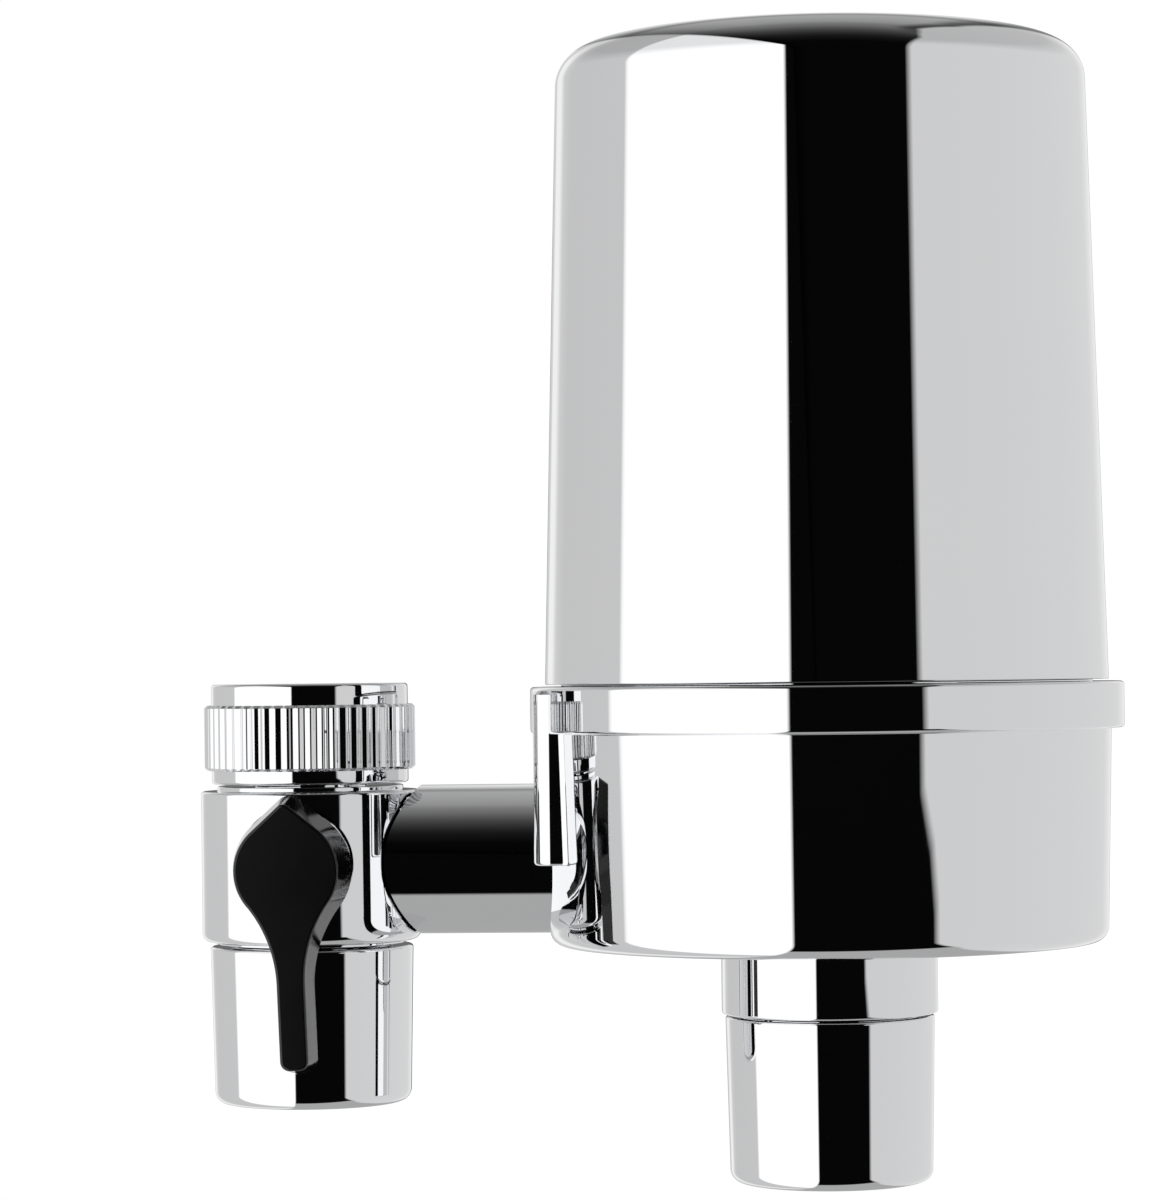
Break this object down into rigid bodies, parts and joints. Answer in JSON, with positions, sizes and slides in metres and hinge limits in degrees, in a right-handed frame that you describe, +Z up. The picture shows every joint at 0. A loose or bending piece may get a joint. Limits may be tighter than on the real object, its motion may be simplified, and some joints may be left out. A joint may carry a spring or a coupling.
{
  "type": "faucet mount water filter",
  "caption": "Chrome water filter that hangs on a faucet spout: a diverter valve with a lever, a side arm and a cartridge housing with a screwed cover.",
  "frame": {"origin": "on the valve's axis, at the plane of the collar nut's top rim, where the spout enters", "axes": "+Z up along the valve and the housing, +X along the arm to the housing, -Y to the front, where the lever is"},
  "size_m": [0.1289, 0.0822, 0.1584],
  "materials": {
    "chrome": "polished chrome plating",
    "black_plastic": "satin gloss",
    "rubber": "matt",
    "brass": "turned",
    "steel": "fine brushed",
    "white_plastic": "moulded",
    "carbon": "pressed carbon block",
    "fabric": "pleated non-woven"
  },
  "bodies": {
    "main": {"spout_washer": "rubber", "inlet_screen": "steel", "inlet_sleeve": "brass", "valve_body": "chrome", "spindle_gland": "brass", "tap_outlet": "chrome", "tap_outlet_washer": "rubber", "tap_outlet_insert": "white_plastic", "arm_tube": "chrome", "arm_oring_valve": "rubber", "arm_oring_base": "rubber", "filter_base": "chrome", "cartridge_cage": "white_plastic", "cartridge_top_cap": "white_plastic", "cartridge_bottom_cap": "white_plastic", "cartridge_prefilter": "fabric", "cartridge_carbon": "carbon", "cartridge_oring_upper": "rubber", "cartridge_oring_lower": "rubber", "outlet_cap": "chrome", "outlet_washer": "rubber", "outlet_insert": "white_plastic"},
    "collar": {"collar_nut": "chrome"},
    "handle": {"lever": "black_plastic", "spindle": "brass", "spindle_oring_front": "rubber", "spindle_oring_rear": "rubber"},
    "gasket": {"cover_gasket": "rubber"},
    "shell": {"cover": "chrome"}
  },
  "joints": [
    {"name": "collar_spin", "type": "hinge", "parent": "main", "child": "collar", "pos_m": [0, 0, 0], "axis": [0, 0, 1], "continuous": true},
    {"name": "lever_turn", "type": "hinge", "parent": "main", "child": "handle", "pos_m": [0, 0, -0.0247], "axis": [0, -1, 0], "range_deg": [-2, 88]},
    {"name": "cover_lift", "type": "slide", "parent": "main", "child": "gasket", "axis": [0, 0, 1], "range_m": [0, 0.1]},
    {"name": "cover_turn", "type": "hinge", "parent": "gasket", "child": "shell", "pos_m": [0.0725, 0, 0], "axis": [0, 0, 1], "range_deg": [0, 720]}
  ]
}
